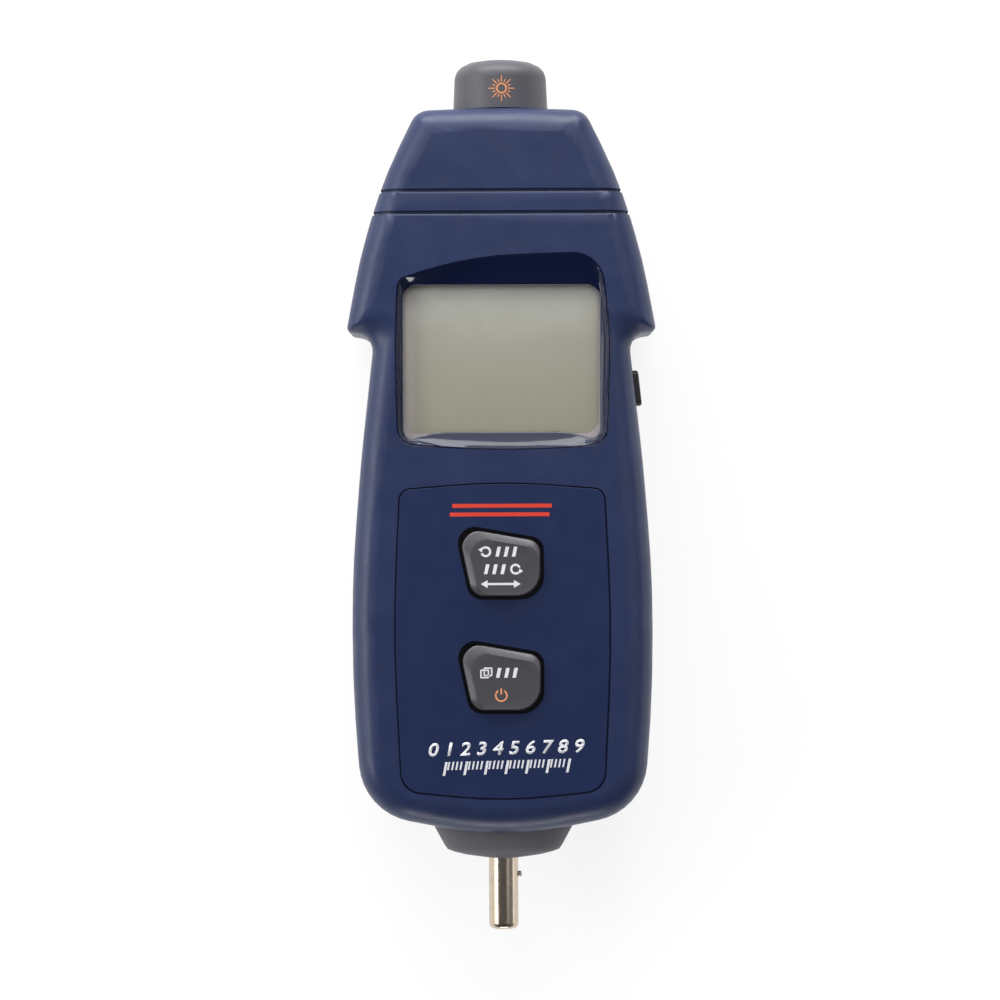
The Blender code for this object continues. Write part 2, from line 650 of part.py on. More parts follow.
def push_key(name, y, colour):
    """A key with a flange behind the front wall, a lopsided bevel and a dished face, and a stem to its switch."""
    under = CASE_DEPTH - WALL - GAP
    top = CASE_DEPTH + KEY_PROUD
    middle = (KEY_X, y, under)
    levels = [
        (under - KEY_FLANGE_THICKNESS, -KEY_FLANGE, 0.0),
        (under, -KEY_FLANGE, 0.0),
        (under, KEY_GAP, 0.0),
        (top - 1.1 * MM, KEY_GAP, 0.0),
        (top - 0.75 * MM, KEY_GAP + 0.15 * MM, 0.05 * MM),
        (top - 0.2 * MM, KEY_GAP + KEY_BEVEL - 0.25 * MM, KEY_SHIFT - 0.15 * MM),
        (top, KEY_GAP + KEY_BEVEL, KEY_SHIFT),
        (top - 0.12 * MM, KEY_GAP + KEY_BEVEL + 0.7 * MM, KEY_SHIFT),
        (top - 0.2 * MM, KEY_GAP + KEY_BEVEL + 2.2 * MM, KEY_SHIFT),
    ]
    rings = []
    for z, inset, shift in levels:
        ring = outline(shifted(KEY_HOLE, KEY_X + shift, y - shift), inset, keep=inset > 0)
        rings.append([(px, py, z) for px, py in ring])
    key = solid(name, rings, origin=middle)
    low = under - KEY_FLANGE_THICKNESS
    add(key, rod(name + "_stem", KEY_STEM_RADIUS, switch_top() + PLUNGER_IN, low + GAP, "Z", (KEY_X, y), 16))
    return paint(key, colour, 0.4)


def switch_top():
    return BOARD_BOTTOM + BOARD_THICKNESS + GAP + SWITCH_HEIGHT


def push_switch(name, y):
    """A push switch on the board, and its plunger, which follows the key."""
    low = BOARD_BOTTOM + BOARD_THICKNESS + GAP
    half = SWITCH_SIZE / 2
    top = switch_top()
    switch = box(name + "_switch", (KEY_X - half, KEY_X + half), (y - half, y + half), (low, top))
    foot = top - PLUNGER_IN
    bore = rod(name + "_bore", PLUNGER_RADIUS + GAP, foot - KEY_TRAVEL - GAP, top + GAP, "Z", (KEY_X, y), 16)
    cut(switch, bore)
    paint(switch, (30, 30, 32), 0.45)
    head = top + PLUNGER_IN - GAP
    plunger = rod(name + "_plunger", PLUNGER_RADIUS, foot, head, "Z", (KEY_X, y), 16, (KEY_X, y, foot))
    paint(plunger, (190, 60, 50), 0.4)


def side_switch_room(around=0.0):
    """Where the side button's switch lies on the board, wider all round by the given amount."""
    low = BOARD_BOTTOM + BOARD_THICKNESS + GAP
    high = 2 * BUTTON_Z - low
    half = SWITCH_SIZE / 2 + around
    inner = BUTTON_SWITCH_OUT - BUTTON_SWITCH_LENGTH
    x = (inner - around, BUTTON_SWITCH_OUT + around)
    return x, (BUTTON_Y - half, BUTTON_Y + half), (low - around, high + around)


def side_button():
    """The button, whose outer face leans with the case's side, its switch and its plunger."""
    half_y, half_z = BUTTON_LENGTH / 2, BUTTON_HEIGHT / 2
    face = rectangle(half_y, half_z, BUTTON_CORNER)
    flange_in = BUTTON_FLANGE_OUT - BUTTON_FLANGE_THICKNESS
    levels = [
        (flange_in, -BUTTON_FLANGE),
        (BUTTON_FLANGE_OUT, -BUTTON_FLANGE),
        (BUTTON_FLANGE_OUT, 0.0),
        (BUTTON_OUT - 0.4 * MM, 0.0),
        (BUTTON_OUT - 0.1 * MM, 0.2 * MM),
        (BUTTON_OUT, 0.6 * MM),
    ]
    place = (BUTTON_FLANGE_OUT, BUTTON_Y, BUTTON_Z)
    rings = on_x(stack(face, levels), (BUTTON_Y, BUTTON_Z))
    notch, waist = CASE_HALF[4], CASE_HALF[5]
    lean = (waist[0] - notch[0]) / (notch[1] - waist[1])
    for i in range(3, len(rings)):
        rings[i] = [(x + (BUTTON_Y - y) * lean, y, z) for x, y, z in rings[i]]
    button = solid("test_button", rings, origin=place)
    paint(button, (24, 24, 25), 0.5)
    switch = box("test_switch", *side_switch_room())
    foot, head = BUTTON_SWITCH_OUT - 1.2 * MM, flange_in - GAP
    radius = BUTTON_PLUNGER_RADIUS
    middle = (BUTTON_Y, BUTTON_Z)
    bore = rod("test_bore", radius + GAP, foot - BUTTON_TRAVEL - GAP, BUTTON_SWITCH_OUT + GAP, "X", middle, 16)
    cut(switch, bore)
    paint(switch, (30, 30, 32), 0.45)
    paint(rod("test_plunger", radius, foot, head, "X", middle, 16, (foot, *middle)), (235, 235, 230), 0.4)


def electronics():
    board = rectangle(BOARD_HALF_WIDTH, (BOARD_HIGH - BOARD_LOW) / 2, BOARD_THICKNESS, y=(BOARD_HIGH + BOARD_LOW) / 2)
    top = BOARD_BOTTOM + BOARD_THICKNESS
    paint(prism("main_board", board, BOARD_BOTTOM, top), (30, 95, 55), 0.4)
    chip = rectangle(CHIP_X / 2, CHIP_LENGTH / 2, 0.3 * MM, KEY_X, CHIP_Y)
    paint(prism("mcu_chip", chip, top + GAP, top + GAP + CHIP_HEIGHT, 0.2 * MM), (28, 28, 30), 0.5)
    crystal = rectangle(CRYSTAL_LENGTH / 2, CRYSTAL_WIDTH / 2, 0.48 * CRYSTAL_WIDTH, CRYSTAL_X, CHIP_Y)
    high = top + GAP + 2 * CHIP_HEIGHT
    paint(prism("quartz_crystal", crystal, top + GAP, high, 0.3 * MM), (190, 190, 185), 0.25, 1.0)


# Sensor end


def sensor_end():
    base = CASE_TOP + GAP
    profile = [
        (CAP_RADIUS, base),
        (CAP_RADIUS - 0.34 * MM, CAP_END - CAP_CROWN),
        (CAP_RADIUS - 0.5 * MM, CAP_END - 0.787 * CAP_CROWN),
        (CAP_RADIUS - 0.9 * MM, CAP_END - 0.574 * CAP_CROWN),
        (CAP_RADIUS - 0.383 * CAP_CROWN, CAP_END - 0.362 * CAP_CROWN),
        (CAP_RADIUS - 0.787 * CAP_CROWN, CAP_END - 0.16 * CAP_CROWN),
        (CAP_RADIUS - 1.404 * CAP_CROWN, CAP_END - 0.053 * CAP_CROWN),
        (0.0, CAP_END),
    ]
    inside = [
        (0.0, CAP_BORE_END),
        (CAP_BORE, CAP_BORE_END),
        (CAP_BORE, SPIGOT_END),
        (SPIGOT_RADIUS, SPIGOT_END),
        (SPIGOT_RADIUS, base),
    ]
    cap = turned("sensor_cap", inside + profile, "Y", (0, AXIS_Z), 40)
    for name, x, radius in (("laser", LASER_X, LASER_HOLE), ("receiver", RECEIVER_X, RECEIVER_HOLE)):
        cut(cap, rod(name + "_hole", radius, CAP_BORE_END - WALL, CAP_END + WALL, "Y", (x, AXIS_Z), 20))
    paint(cap, (84, 85, 88), 0.45)
    nut_high = CASE_TOP - WALL - 2 * GAP
    nut_low = nut_high - NUT_THICKNESS
    nut = tube("cap_nut", SPIGOT_RADIUS + GAP, NUT_RADIUS, nut_low, nut_high, "Y", (0, AXIS_Z), 40)
    paint(nut, (60, 60, 62), 0.5)

    high = SPIGOT_END - GAP
    half_z, half_x = LASER_RADIUS + GAP + HOLDER_WALL, LASER_RADIUS + GAP - LASER_X + HOLDER_WALL
    z = (AXIS_Z - half_z, AXIS_Z + half_z)
    holder = box("optics_holder", (-half_x, half_x), (HOLDER_LOW, high), z)
    for name, x, radius in (("laser", LASER_X, LASER_RADIUS), ("diode", RECEIVER_X, DIODE_RADIUS)):
        cut(holder, rod(name + "_seat", radius + GAP, HOLDER_LOW - WALL, high + WALL, "Y", (x, AXIS_Z), 20))
    paint(holder, (20, 20, 21), 0.6)

    end = CAP_BORE_END - GAP
    profile = [
        (0.0, HOLDER_LOW + 1 * MM),
        (LASER_RADIUS, HOLDER_LOW + 1 * MM),
        (LASER_RADIUS, end - 0.3 * MM),
        (LASER_RADIUS - 0.3 * MM, end),
        (1.2 * MM, end),
        (0.8 * MM, end - 1 * MM),
        (0.0, end - 1 * MM),
    ]
    paint(turned("laser_module", profile, "Y", (LASER_X, AXIS_Z), 20), (190, 150, 80), 0.3, 1.0)
    radius = RECEIVER_HOLE - GAP
    profile = [(0.0, end), (radius, end), (radius, CAP_END - 1.4 * MM), (0.0, CAP_END - 0.8 * MM)]
    profile[3:3] = [(radius * 0.75, CAP_END - 1.0 * MM), (radius * 0.4, CAP_END - 0.85 * MM)]
    paint(turned("receiver_lens", profile, "Y", (RECEIVER_X, AXIS_Z), 20), (120, 20, 25), 0.08)
    profile = [
        (0.0, HOLDER_LOW + 1 * MM),
        (DIODE_RADIUS, HOLDER_LOW + 1 * MM),
        (DIODE_RADIUS, high - 3 * MM),
        (DIODE_RADIUS * 0.7, high - 1.4 * MM),
        (0.0, high - 0.6 * MM),
    ]
    paint(turned("photodiode", profile, "Y", (RECEIVER_X, AXIS_Z), 20), (40, 30, 45), 0.1)
    board_y = (HOLDER_LOW - GAP - BOARD_THICKNESS, HOLDER_LOW - GAP)
    board_z = (AXIS_Z - SENSOR_BOARD_Z, AXIS_Z + SENSOR_BOARD_Z)
    paint(box("sensor_board", (-SENSOR_BOARD_X, SENSOR_BOARD_X), board_y, board_z), (30, 95, 55), 0.4)


# Contact end


def oval(half_x, half_z, y, steps=40):
    ring = []
    for i in range(steps):
        angle = 2 * math.pi * i / steps
        ring.append((half_x * math.cos(angle), y, AXIS_Z + half_z * math.sin(angle)))
    return ring


def nose_cone():
    flange_back = NOSE_FLANGE_Y + NOSE_FLANGE_THICKNESS
    sizes = [
        (NOSE_X + NOSE_FLANGE, NOSE_Z + NOSE_FLANGE, flange_back),
        (NOSE_X + NOSE_FLANGE, NOSE_Z + NOSE_FLANGE, NOSE_FLANGE_Y),
        (NOSE_X, NOSE_Z, NOSE_FLANGE_Y),
        (NOSE_X, NOSE_Z, NOSE_END + NOSE_TAPER),
        (0.838 * NOSE_X, 0.79 * NOSE_Z, NOSE_END + 0.352 * NOSE_TAPER),
        (0.801 * NOSE_X, 0.745 * NOSE_Z, NOSE_END + 0.236 * NOSE_TAPER),
        (0.708 * NOSE_X, 0.675 * NOSE_Z, NOSE_END + 0.158 * NOSE_TAPER),
        (0.562 * NOSE_X, 0.59 * NOSE_Z, NOSE_END + 0.081 * NOSE_TAPER),
        (0.425 * NOSE_X, 0.515 * NOSE_Z, NOSE_END + 0.038 * NOSE_TAPER),
        (SHAFT_RADIUS + 1.35 * MM, SHAFT_RADIUS + 1.35 * MM, NOSE_END),
    ]
    rings = [oval(x, z, y) for x, z, y in sizes]
    for radius, y in ((SHAFT_RADIUS + 0.45 * MM, NOSE_END), (SHAFT_RADIUS + 0.45 * MM, NOSE_BORE_END)):
        rings.append(oval(radius, radius, y))
    for y in (NOSE_BORE_END, flange_back):
        rings.append(oval(NOSE_BORE, NOSE_BORE, y))
    return paint(solid("nose_cone", rings, closed=True), (78, 78, 82), 0.45)


def contact_shaft():
    start = (0, SHAFT_TIP, AXIS_Z)
    chamfer = 0.5 * MM
    profile = [
        (0.0, SHAFT_TIP),
        (SHAFT_RADIUS - 1.0 * MM, SHAFT_TIP),
        (SHAFT_RADIUS - 0.45 * MM, SHAFT_TIP + 0.25 * MM),
        (SHAFT_RADIUS - 0.1 * MM, SHAFT_TIP + 0.8 * MM),
        (SHAFT_RADIUS, SHAFT_TIP + 1.5 * MM),
        (SHAFT_RADIUS, SHAFT_BACK - chamfer),
        (SHAFT_RADIUS - chamfer, SHAFT_BACK),
        (0.0, SHAFT_BACK),
    ]
    shaft = turned("contact_shaft", profile, "Y", (0, AXIS_Z), 40, origin=start)
    pin_in = SHAFT_RADIUS + PIN_PROUD - PIN_LENGTH
    cut(shaft, rod("pin_hole", PIN_RADIUS + GAP / 3, pin_in - GAP, SHAFT_RADIUS + WALL, "X", (PIN_Y, AXIS_Z), 16))
    paint(shaft, (200, 196, 190), 0.2, 1.0)
    out = SHAFT_RADIUS + PIN_PROUD
    profile = [(0.0, pin_in), (PIN_RADIUS, pin_in), (PIN_RADIUS, out - 0.3 * MM), (PIN_RADIUS - 0.3 * MM, out), (0.0, out)]
    pin = turned("drive_pin", profile, "X", (PIN_Y, AXIS_Z), 16, origin=(0, PIN_Y, AXIS_Z))
    paint(pin, (190, 188, 184), 0.25, 1.0)


def shaft_parts():
    bore = SHAFT_RADIUS + RUN_GAP
    axis = (0, AXIS_Z)
    bush_y = (NOSE_BORE_END + GAP, NOSE_BORE_END + BUSH_LENGTH)
    paint(tube("front_bush", bore, NOSE_BORE - GAP, *bush_y, "Y", axis), (185, 150, 90), 0.35, 1.0)
    ring_low = bush_y[1] + GAP
    middle = (0, ring_low, AXIS_Z)
    ring = tube("retaining_ring", bore, NOSE_BORE - 0.8 * MM, ring_low, ring_low + 0.8 * MM, "Y", axis, origin=middle)
    slit = 1.6 * MM
    cut(ring, box("ring_slit", (-slit, slit), (ring_low - WALL, ring_low + WALL), (AXIS_Z - NOSE_BORE, AXIS_Z)))
    paint(ring, (60, 58, 56), 0.35, 1.0)

    low = DISC_Y - DISC_THICKNESS / 2
    high = DISC_Y + DISC_THICKNESS / 2
    disc = tube("encoder_disc", bore, DISC_RADIUS, low, high, "Y", axis, 40, (0, DISC_Y, AXIS_Z))
    for i in range(DISC_SLOTS):
        angle = 2 * math.pi * (i + 0.5) / DISC_SLOTS
        middle = DISC_RADIUS - 1.9 * SLOT_RADIUS
        x, z = middle * math.cos(angle), AXIS_Z + middle * math.sin(angle)
        cut(disc, rod(f"disc_hole_{i}", SLOT_RADIUS, low - WALL, high + WALL, "Y", (x, z), 9))
    paint(disc, (40, 40, 42), 0.4)

    low = BEARING_Y - BEARING_THICKNESS / 2
    high = BEARING_Y + BEARING_THICKNESS / 2
    z = (FLOOR_TOP + GAP, CASE_DEPTH - WALL - GAP)
    plate = box("bearing_plate", (-BEARING_X, BEARING_X), (low, high), z)
    cut(plate, rod("bearing_seat", NOSE_BORE, low - WALL, high + WALL, "Y", axis, 32))
    paint(plate, (44, 44, 46), 0.5)
    paint(tube("rear_bush", bore, NOSE_BORE - GAP, low - 0.6 * MM, high, "Y", axis), (185, 150, 90), 0.35, 1.0)

    # Slotted light barrier over the disc's edge, held on the bearing plate by its arm
    reach = AXIS_Z + DISC_RADIUS + 0.5 * MM
    bottom, arm_top = AXIS_Z + SHAFT_RADIUS + 1.4 * MM, reach + BARRIER_LEG
    slot = DISC_THICKNESS / 2 + 0.5 * MM
    leg = slot + BARRIER_LEG
    side = [
        (DISC_Y - leg, arm_top),
        (DISC_Y - leg, bottom),
        (DISC_Y - slot, bottom),
        (DISC_Y - slot, reach),
        (DISC_Y + slot, reach),
        (DISC_Y + slot, bottom),
        (DISC_Y + leg, bottom),
        (DISC_Y + leg, reach),
        (low - GAP, reach),
        (low - GAP, arm_top),
    ]
    rings = [[(x, y, h) for y, h in side] for x in (-BARRIER_X, BARRIER_X)]
    paint(solid("opto_sensor", rings), (30, 30, 34), 0.45)


# Power


def battery_tray():
    half, low = BAY_HALF_WIDTH, BAY_LOW
    outer_y = (low - TRAY_WALL, BAY_HIGH + TRAY_WALL)
    tray = box("battery_tray", (-half - TRAY_WALL, half + TRAY_WALL), outer_y, (FLOOR_TOP + GAP, TRAY_TOP))
    cut(tray, box("tray_room", (-half, half), (low, BAY_HIGH), (0.0, TRAY_TOP - TRAY_WALL)))
    return paint(tray, (36, 36, 38), 0.55)


def cell(name, x, up):
    """An AA cell. up is 1 with the plus end towards the cap."""
    near = BAY_LOW + 2 * GAP + CONTACT_THICKNESS
    far = BAY_HIGH - 2 * GAP - CONTACT_THICKNESS
    plus = far if up > 0 else near
    body = CELL_LENGTH - CELL_NUB
    bevel = 0.5 * MM
    profile = [
        (0.0, 0.0),
        (CELL_NUB_RADIUS, 0.0),
        (CELL_NUB_RADIUS, CELL_NUB),
        (CELL_RADIUS - bevel, CELL_NUB),
        (CELL_RADIUS, CELL_NUB + bevel),
        (CELL_RADIUS, CELL_NUB + body - bevel),
        (CELL_RADIUS - bevel, CELL_NUB + body),
        (0.0, CELL_NUB + body),
    ]
    profile = [(radius, plus - up * place) for radius, place in profile]
    paint(turned(name, profile, "Y", (x, CELL_Z), 24), (60, 62, 66), 0.35)
    minus = plus - up * (CELL_LENGTH + GAP)
    return minus, minus - up * SPRING_LENGTH


def spring(name, x, start, end):
    """A coil from start to end along Y, with flat ends on the wire."""
    turns, per_turn, sides = 3, 12, 5
    count = turns * per_turn
    wire = SPRING_WIRE
    low, high = min(start, end) + wire, max(start, end) - wire
    rings = []
    for i in range(count + 1):
        angle = 2 * math.pi * i / per_turn
        y = low + (high - low) * i / count
        ring = []
        for j in range(sides):
            around = 2 * math.pi * j / sides
            radius = SPRING_RADIUS + wire * math.cos(around)
            height = y + wire * math.sin(around)
            ring.append((x + radius * math.cos(angle), height, CELL_Z + radius * math.sin(angle)))
        rings.append(ring)
    paint(solid(name, rings), (200, 200, 200), 0.25, 1.0)


def power():
    battery_tray()
    for i, up in enumerate((1, -1, 1)):
        x = (i - 1) * CELL_PITCH
        start, end = cell(f"battery_{i + 1}", x, up)
        spring(f"battery_spring_{i + 1}", x, start, end)
    half = BAY_HALF_WIDTH - GAP
    z = (CELL_Z - CONTACT_HALF_HEIGHT, CELL_Z + CONTACT_HALF_HEIGHT)
    low, high = BAY_LOW + GAP, BAY_HIGH - GAP
    places = {"contact_low": (low, low + CONTACT_THICKNESS), "contact_high": (high - CONTACT_THICKNESS, high)}
    for name, y in places.items():
        paint(box(name, (-half, half), y, z), (205, 205, 200), 0.25, 1.0)


def case_screws():
    head_low = SCREW_SINK - GAP - SCREW_HEAD
    for i, (x, y) in enumerate(screw_places()):
        profile = [
            (0.0, head_low),
            (SCREW_HEAD_RADIUS - 0.5 * MM, head_low),
            (SCREW_HEAD_RADIUS, head_low + 0.5 * MM),
            (SCREW_HEAD_RADIUS, head_low + SCREW_HEAD),
            (SCREW_RADIUS, head_low + SCREW_HEAD),
            (SCREW_RADIUS, SCREW_END - 1 * MM),
            (0.0, SCREW_END),
        ]
        screw = turned(f"case_screw_{i + 1}", profile, "Z", (x, y), 16)
        deep, arm, thick = head_low + 1 * MM, CROSS_ARM, CROSS_WIDTH / 2
        cut(screw, box(f"cross_{i}_a", (x - arm, x + arm), (y - thick, y + thick), (-WALL, deep)))
        cut(screw, box(f"cross_{i}_b", (x - thick, x + thick), (y - arm, y + arm), (-WALL, deep)))
        paint(screw, (150, 150, 150), 0.3, 1.0)


def main():
    clear_scene()
    front_case()
    rear_case()
    battery_door()
    window_bezel()
    display_parts()
    panel_overlay()
    push_key("mode_key", MODE_KEY_Y, (84, 84, 87))
    push_key("memory_key", MEMORY_KEY_Y, (84, 84, 87))
    push_switch("mode", MODE_KEY_Y)
    push_switch("memory", MEMORY_KEY_Y)
    side_button()
    electronics()
    sensor_end()
    nose_cone()
    contact_shaft()
    shaft_parts()
    power()
    case_screws()


main()
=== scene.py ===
"""Looks of a hand-held tachometer on its solid model: finishes, printed marks, studio and camera."""

import json
import math

import bpy
import numpy as np
from mathutils import Matrix, Vector
from mathutils.bvhtree import BVHTree


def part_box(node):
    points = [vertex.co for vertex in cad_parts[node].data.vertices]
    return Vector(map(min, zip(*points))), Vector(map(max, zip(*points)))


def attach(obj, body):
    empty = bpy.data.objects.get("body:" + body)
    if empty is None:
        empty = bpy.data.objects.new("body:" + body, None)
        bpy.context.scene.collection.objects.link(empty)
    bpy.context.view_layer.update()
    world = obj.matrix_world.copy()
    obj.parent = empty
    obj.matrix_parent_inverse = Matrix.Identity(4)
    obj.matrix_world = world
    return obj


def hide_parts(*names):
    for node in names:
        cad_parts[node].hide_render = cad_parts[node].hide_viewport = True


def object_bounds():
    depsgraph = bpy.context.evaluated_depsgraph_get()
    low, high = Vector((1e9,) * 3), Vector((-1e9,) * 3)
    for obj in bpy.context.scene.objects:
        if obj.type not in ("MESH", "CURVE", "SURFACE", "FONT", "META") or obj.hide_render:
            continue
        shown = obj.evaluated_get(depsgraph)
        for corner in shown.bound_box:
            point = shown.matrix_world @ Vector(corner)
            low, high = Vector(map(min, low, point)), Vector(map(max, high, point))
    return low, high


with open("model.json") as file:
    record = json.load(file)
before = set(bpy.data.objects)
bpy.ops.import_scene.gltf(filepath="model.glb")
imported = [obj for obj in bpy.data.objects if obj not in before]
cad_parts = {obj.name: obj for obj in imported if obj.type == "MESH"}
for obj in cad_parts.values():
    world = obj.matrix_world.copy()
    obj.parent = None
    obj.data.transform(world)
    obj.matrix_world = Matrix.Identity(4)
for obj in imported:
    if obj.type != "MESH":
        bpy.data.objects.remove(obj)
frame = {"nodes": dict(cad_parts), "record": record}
cad_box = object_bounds()
nodes = frame["nodes"]
scene = bpy.context.scene
MM = 0.001

# Heights of the front, from the solid model
FACE_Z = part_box("front_case")[1].z
PANEL_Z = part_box("panel_overlay")[1].z


def linear(*rgb):
    """Linear colour of an sRGB colour given from 0 to 255."""
    return tuple(c / 12.92 if c <= 0.04045 else ((c + 0.055) / 1.055) ** 2.4 for c in (v / 255 for v in rgb))


# Mesh helpers

# Edges flatter than this, in degrees, are shaded smooth
SMOOTH_ANGLE = 38.0
MICRONS_PER_METRE = 1e6


def evaluated_mesh(obj):
    """A mesh of what the object is after its modifiers."""
    return bpy.data.meshes.new_from_object(obj.evaluated_get(bpy.context.evaluated_depsgraph_get()))


def face_front(mesh):
    """Turns every face of a flat mesh to look out of the front."""
    mesh.update()
    for face in mesh.polygons:
        if face.normal.z < 0:
            face.flip()


def shade(obj):
    """Smooth shading across flat edges, weighted by face size so that flats stay flat."""
    mesh = obj.data
    limit = math.cos(math.radians(SMOOTH_ANGLE))
    normals = np.zeros(len(mesh.polygons) * 3)
    mesh.polygons.foreach_get("normal", normals)
    normals = normals.reshape(-1, 3)
    around = {}
    keys = [tuple(round(c * MICRONS_PER_METRE) for c in v.co) for v in mesh.vertices]
    for face in mesh.polygons:
        for vertex in face.vertices:
            around.setdefault(keys[vertex], []).append(face.index)
    areas = [face.area for face in mesh.polygons]
    split = []
    for face in mesh.polygons:
        own = normals[face.index]
        for vertex in face.vertices:
            total = np.zeros(3)
            for other in around[keys[vertex]]:
                if normals[other] @ own > limit:
                    total += normals[other] * areas[other]
            length = np.linalg.norm(total)
            split.append(tuple(total / length if length > 0 else own))
    for face in mesh.polygons:
        face.use_smooth = True
    mesh.normals_split_custom_set(split)


# Materials

# The part of a noise's range over which one patch of colour or gloss turns into the next
PATCHES = (0.3, 0.7)


class Finish:
    """A procedural material: nodes are added to its shader one by one."""

    def __init__(self, name):
        self.material = bpy.data.materials.new(name)
        self.material.use_nodes = True
        self.tree = self.material.node_tree
        self.shader = self.tree.nodes["Principled BSDF"]
        self.place = self.add("ShaderNodeTexCoord").outputs["Object"]

    def add(self, kind, **settings):
        """A new node with the given settings."""
        node = self.tree.nodes.new(kind)
        for key, value in settings.items():
            setattr(node, key, value)
        return node

    def link(self, source, target):
        """Joins an output to an input."""
        self.tree.links.new(source, target)

    def set(self, **values):
        """Sets inputs of the shader, with an underscore for each space in their names."""
        for key, value in values.items():
            self.shader.inputs[key.replace("_", " ")].default_value = value
        return self

    def axes(self):
        """The X, Y and Z coordinates of the place that is shaded, in metres."""
        node = self.add("ShaderNodeSeparateXYZ")
        self.link(self.place, node.inputs["Vector"])
        return node.outputs

    def stretched(self, scale):
        """Coordinates scaled by a triple, so that a texture runs along one axis."""
        node = self.add("ShaderNodeMapping")
        node.inputs["Scale"].default_value = scale
        self.link(self.place, node.inputs["Vector"])
        return node.outputs["Vector"]

    def noise(self, scale, detail=3.0, rough=0.55, vector=None):
        """Cloudy noise, about 0 to 1, with scale patches to a metre."""
        node = self.add("ShaderNodeTexNoise")
        node.inputs["Scale"].default_value = scale
        node.inputs["Detail"].default_value = detail
        node.inputs["Roughness"].default_value = rough
        self.link(vector or self.place, node.inputs["Vector"])
        return node.outputs["Fac"]

    def spots(self, scale):
        """The distance to the nearest of many scattered points."""
        node = self.add("ShaderNodeTexVoronoi")
        node.inputs["Scale"].default_value = scale
        self.link(self.place, node.inputs["Vector"])
        return node.outputs["Distance"]

    def ramp(self, fac, low, high, start=0.35, end=0.65):
        """A value or colour that runs from low to high while fac runs from start to end."""
        if isinstance(low, tuple):
            node = self.add("ShaderNodeValToRGB")
            ends = node.color_ramp.elements
            ends[0].position, ends[1].position = start, end
            ends[0].color, ends[1].color = (*low, 1), (*high, 1)
            self.link(fac, node.inputs["Fac"])
            return node.outputs["Color"]
        node = self.add("ShaderNodeMapRange")
        for key, value in (("From Min", start), ("From Max", end), ("To Min", low), ("To Max", high)):
            node.inputs[key].default_value = value
        self.link(fac, node.inputs["Value"])
        return node.outputs["Result"]

    def bands(self, fac, stops, blend="LINEAR"):
        """A colour that runs through the stops, each a place from 0 to 1 and an sRGB colour."""
        node = self.add("ShaderNodeValToRGB")
        node.color_ramp.interpolation = blend
        elements = node.color_ramp.elements
        while len(elements) < len(stops):
            elements.new(0.5)
        for element, (place, rgb) in zip(elements, stops):
            element.position = place
            element.color = (*linear(*rgb), 1)
        self.link(fac, node.inputs["Fac"])
        return node.outputs["Color"]

    def maths(self, operation, a, b):
        """The result of a sum on two numbers or outputs."""
        node = self.add("ShaderNodeMath", operation=operation)
        for socket, value in zip(node.inputs, (a, b)):
            if isinstance(value, (int, float)):
                socket.default_value = value
            else:
                self.link(value, socket)
        return node.outputs["Value"]

    def colour(self, low, high, scale):
        """Base colour that drifts between two shades."""
        self.link(self.ramp(self.noise(scale), low, high, *PATCHES), self.shader.inputs["Base Color"])
        return self

    def roughness(self, low, high, scale):
        """Roughness that varies in patches between two values."""
        patches = self.noise(scale, detail=4.0)
        self.link(self.ramp(patches, low, high, *PATCHES), self.shader.inputs["Roughness"])
        return self

    def bump(self, height, depth, strength=1.0):
        """Adds surface relief of the given depth in metres on top of what there is."""
        node = self.add("ShaderNodeBump")
        node.inputs["Strength"].default_value = strength
        node.inputs["Distance"].default_value = depth
        self.link(height, node.inputs["Height"])
        before = self.shader.inputs["Normal"].links
        if before:
            self.link(before[0].from_socket, node.inputs["Normal"])
        self.link(node.outputs["Normal"], self.shader.inputs["Normal"])
        return self


def tones(rgb, spread):
    """Two close shades of an sRGB colour."""
    base = linear(*rgb)
    return tuple(c * (1 - spread) for c in base), tuple(c * (1 + spread) for c in base)


def plastic(name, rgb, rough, spread=0.08, grain=0.012 * MM, size=0.35 * MM, **values):
    """Moulded plastic: fine grain from the mould, slow colour drift and patchy gloss."""
    drift_scale, gloss_scale, wave_scale = 60, 170, 90
    f = Finish(name)
    f.colour(*tones(rgb, spread), drift_scale)
    f.roughness(rough - 0.05, rough + 0.06, gloss_scale)
    f.bump(f.noise(1 / size, 2.0), grain)
    f.bump(f.noise(wave_scale, 2.0), grain * 1.5, 0.5)
    return f.set(**values)


def metal(name, rgb, rough, lines=None, depth=0.002 * MM):
    """Bare metal, with tool lines where it is given their scale along each axis."""
    drift_scale, gloss_scale, grain_scale = 300, 900, 4000
    f = Finish(name)
    f.colour(*tones(rgb, 0.06), drift_scale)
    f.roughness(rough - 0.05, rough + 0.08, gloss_scale)
    if lines:
        f.bump(f.noise(1.0, 4.0, 0.6, f.stretched(lines)), depth)
    f.bump(f.noise(grain_scale, 2.0), depth * 0.5)
    return f.set(Metallic=1.0)


def case_finish():
    """Navy plastic with a spark-eroded texture."""
    f = plastic("moulded_navy", (33, 46, 83), 0.39, grain=0.03 * MM, size=0.42 * MM)
    f.bump(f.spots(1500), 0.012 * MM, 0.7)
    return f.set(Specular_IOR_Level=0.5)


def bezel_finish():
    """Polished navy plastic of the display tray."""
    f = Finish("polished_navy")
    f.colour(*tones((9, 20, 50), 0.06), 80)
    f.roughness(0.05, 0.10, 400)
    f.bump(f.noise(160, 1.0), 0.002 * MM)
    return f


